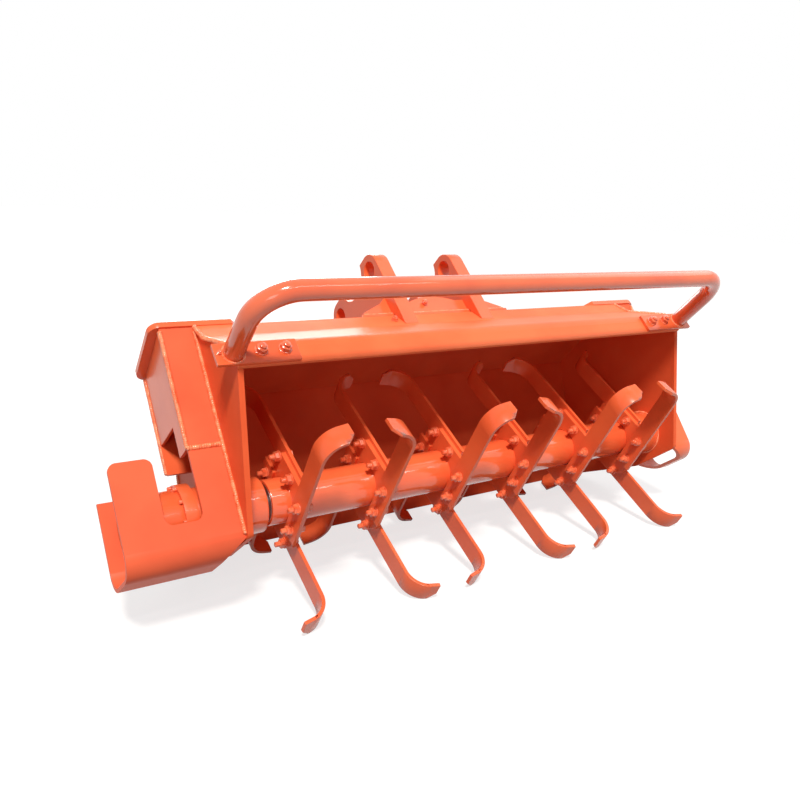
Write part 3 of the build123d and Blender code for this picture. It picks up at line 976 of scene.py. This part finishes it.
@dataclass
class Studio:
    """White room: a pale floor that keeps the shadow, a white backdrop and soft lamps."""

    floor_span: float = 40.0
    floor_colour: Triple = (0.30, 0.30, 0.30)
    floor_roughness: float = 0.9
    floor_lift: float = 0.74
    ambient: float = 0.12
    sun_way: Triple = (0.34, 0.60, -1.0)
    sun_strength: float = 3.5
    sun_colour: Triple = (1.0, 0.96, 0.89)
    sun_spread: float = radians(9.0)
    lamps: tuple[Lamp, ...] = (
        Lamp("strip", (0.1, -2.5, 2.7), 3.2, 0.10, 17.0),
        Lamp("fill", (-2.8, -2.8, 1.2), 1.2, 1.2, 12.0),
        Lamp("sheen", (2.2, -0.2, 2.6), 2.0, 2.0, 14.0),
        Lamp("back", (1.0, 3.4, 1.7), 1.8, 1.8, 62.0),
    )
    target: Triple = (0.0, 0.0, 0.3)

    def build(self) -> None:
        """Add the floor, the world and the lamps."""
        bpy.context.scene.view_settings.view_transform = "Standard"
        self._floor()
        self._world()
        self._sun()
        for lamp in self.lamps:
            self._panel(lamp)

    def _seen(self, tree: bpy.types.NodeTree) -> bpy.types.NodeSocket:
        """One for rays from the camera, a mirror or glass, nought for light.

        Args:
            tree: Node tree to add the nodes to.

        Returns:
            The socket that carries the number.
        """
        path = tree.nodes.new("ShaderNodeLightPath")
        total = path.outputs["Is Camera Ray"]
        for ray in ("Is Glossy Ray", "Is Transmission Ray"):
            either = tree.nodes.new("ShaderNodeMath")
            either.operation = "MAXIMUM"
            tree.links.new(total, either.inputs[0])
            tree.links.new(path.outputs[ray], either.inputs[1])
            total = either.outputs[0]
        return total

    def _floor(self) -> None:
        """Add the pale floor."""
        bpy.ops.mesh.primitive_plane_add(size=self.floor_span)
        floor = bpy.context.object
        floor.name = "floor"
        material, shader = new_material("floor_white")
        tree = material.node_tree
        shader.inputs["Base Color"].default_value = (*self.floor_colour, 1.0)
        shader.inputs["Roughness"].default_value = self.floor_roughness
        shader.inputs["Specular IOR Level"].default_value = 0.0
        shader.inputs["Emission Color"].default_value = WHITE
        lift = tree.nodes.new("ShaderNodeMath")
        lift.operation = "MULTIPLY"
        lift.inputs[1].default_value = self.floor_lift
        tree.links.new(self._seen(tree), lift.inputs[0])
        tree.links.new(lift.outputs[0], shader.inputs["Emission Strength"])
        floor.data.materials.append(material)

    def _world(self) -> None:
        """Make the world white where it is seen and softer where it only lights."""
        world = bpy.data.worlds.new("studio")
        world.use_nodes = True
        tree = world.node_tree
        light = tree.nodes["Background"]
        light.inputs["Color"].default_value = WHITE
        strength = tree.nodes.new("ShaderNodeMapRange")
        strength.inputs["To Min"].default_value = self.ambient
        strength.inputs["To Max"].default_value = 1.0
        tree.links.new(self._seen(tree), strength.inputs["Value"])
        tree.links.new(strength.outputs["Result"], light.inputs["Strength"])
        bpy.context.scene.world = world

    def _sun(self) -> None:
        """Add the broad key light, which falls evenly on the machine and the whole floor."""
        data = bpy.data.lights.new("key", "SUN")
        data.energy = self.sun_strength
        data.color = self.sun_colour
        data.angle = self.sun_spread
        lamp = bpy.data.objects.new("key", data)
        lamp.rotation_euler = Vector(self.sun_way).to_track_quat("-Z", "Y").to_euler()
        bpy.context.scene.collection.objects.link(lamp)

    def _panel(self, lamp: Lamp) -> None:
        """Add one panel lamp that faces the machine.

        Args:
            lamp: The lamp to add.
        """
        data = bpy.data.lights.new(lamp.name, "AREA")
        data.shape = "RECTANGLE"
        data.size = lamp.width
        data.size_y = lamp.height
        data.energy = lamp.power
        panel = bpy.data.objects.new(lamp.name, data)
        panel.location = lamp.place
        panel.rotation_euler = (Vector(self.target) - panel.location).to_track_quat("-Z", "Y").to_euler()
        bpy.context.scene.collection.objects.link(panel)


def main() -> None:
    """Dress the machine, build the studio and report each piece."""
    logging.basicConfig(level=logging.INFO, format="%(message)s")
    bpy.ops.object.select_all(action="DESELECT")
    attitude = Attitude()
    materials = {finish: finish.value.make() for finish in Finish}
    dress_nodes(materials)
    face = BarPlateFace(attitude)
    # The bolts, screws and studs take the paler bolt finish: partly thin paint over zinc, partly painted
    # highlight.
    for bolts in (TineBolts(attitude), BarPlateBolts(face), MotorScrews(attitude), HitchStuds(attitude)):
        bolts.build(materials[Finish.BOLT_ZINC_AND_PAINTED_HIGHLIGHT])
    # The beads take a paler copy of the gloss, a painted highlight.
    WeldSeams(attitude, face).build(materials[Finish.BEAD_PAINTED_HIGHLIGHT])
    SoftEdges().apply()
    Studio().build()
    Camera().add(attitude)


if __name__ == "__main__":
    main()
